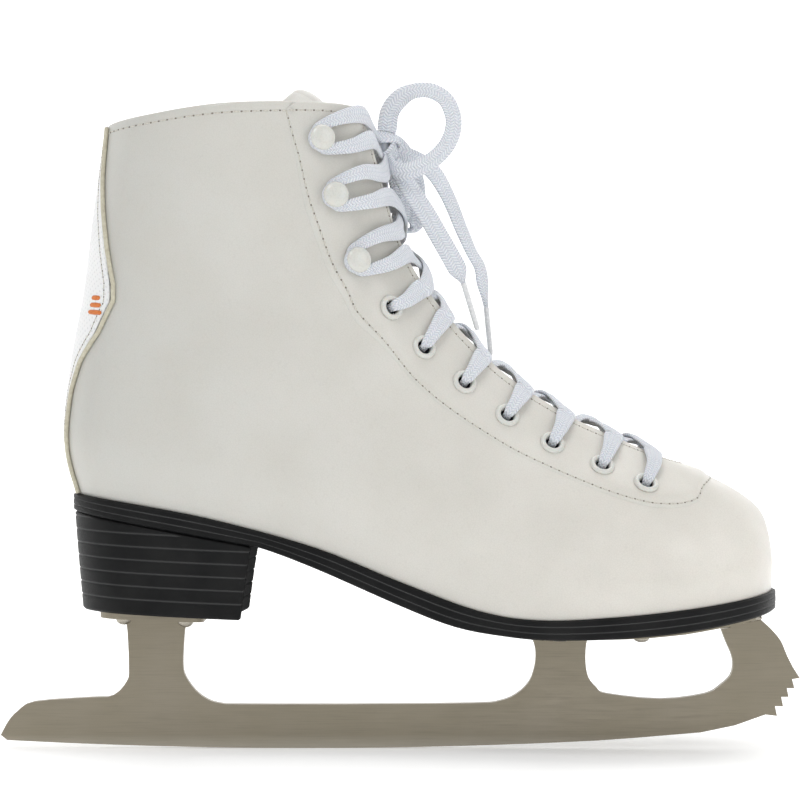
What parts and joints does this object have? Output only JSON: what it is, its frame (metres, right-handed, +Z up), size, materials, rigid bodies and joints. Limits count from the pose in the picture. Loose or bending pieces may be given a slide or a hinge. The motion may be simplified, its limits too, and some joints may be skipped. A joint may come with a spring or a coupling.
{
  "type": "figure skate",
  "caption": "Lace-up figure skate for the right foot: a high stitched boot with heel, on a riveted steel blade with toe pick.",
  "frame": {"origin": "on the ice, midway along the blade's length and in the blade's middle plane", "axes": "+X towards the toe, +Y towards the inner side of the right foot, +Z up"},
  "size_m": [0.303, 0.0922, 0.2519],
  "materials": {
    "blade_steel": "satin ground steel",
    "rivet_steel": "satin",
    "sole_black": "semi-gloss moulded",
    "fibre_board": "matt",
    "lining_fabric": "fine brushed textile",
    "upper_leather": "fine-grained, semi-matt",
    "backstay_leather": "dimpled, semi-matt",
    "piping_cream": "matt",
    "foam": "open foam",
    "white_enamel": "gloss enamel",
    "lace_white": "flat braid",
    "aglet_plastic": "clear-white, glossy"
  },
  "bodies": {
    "boot": {"blade": "blade_steel", "sole_plate": "blade_steel", "heel_plate": "blade_steel", "sole_plate_rivets": "rivet_steel", "heel_plate_rivets": "rivet_steel", "outsole": "sole_black", "heel_block": "sole_black", "heel_nails": "rivet_steel", "shank": "rivet_steel", "insole_board": "fibre_board", "sock_liner": "lining_fabric", "upper": "upper_leather", "facing": "upper_leather", "backstay": "backstay_leather", "piping_outer": "piping_cream", "piping_inner": "piping_cream", "toe_puff": "fibre_board", "heel_counter": "fibre_board", "ankle_padding_outer": "foam", "ankle_padding_inner": "foam", "lining": "lining_fabric", "eyelets_outer": "white_enamel", "eyelets_inner": "white_enamel", "hooks_outer": "white_enamel", "hooks_inner": "white_enamel", "lace": "lace_white", "lace_knot": "lace_white", "lace_loop_upper": "lace_white", "lace_loop_lower": "lace_white", "lace_tail_outer": "lace_white", "lace_tail_inner": "lace_white", "aglet_outer": "aglet_plastic", "aglet_inner": "aglet_plastic"},
    "tongue": {"tongue_shell": "upper_leather", "tongue_padding": "foam", "tongue_lining": "lining_fabric"}
  },
  "joints": [
    {"name": "tongue_hinge", "type": "hinge", "parent": "boot", "child": "tongue", "pos_m": [0.097, 0, 0.101], "axis": [0, -1, 0], "range_deg": [0, 12], "stiffness_Nm_per_rad": 0.5, "springref_deg": -17.19}
  ]
}
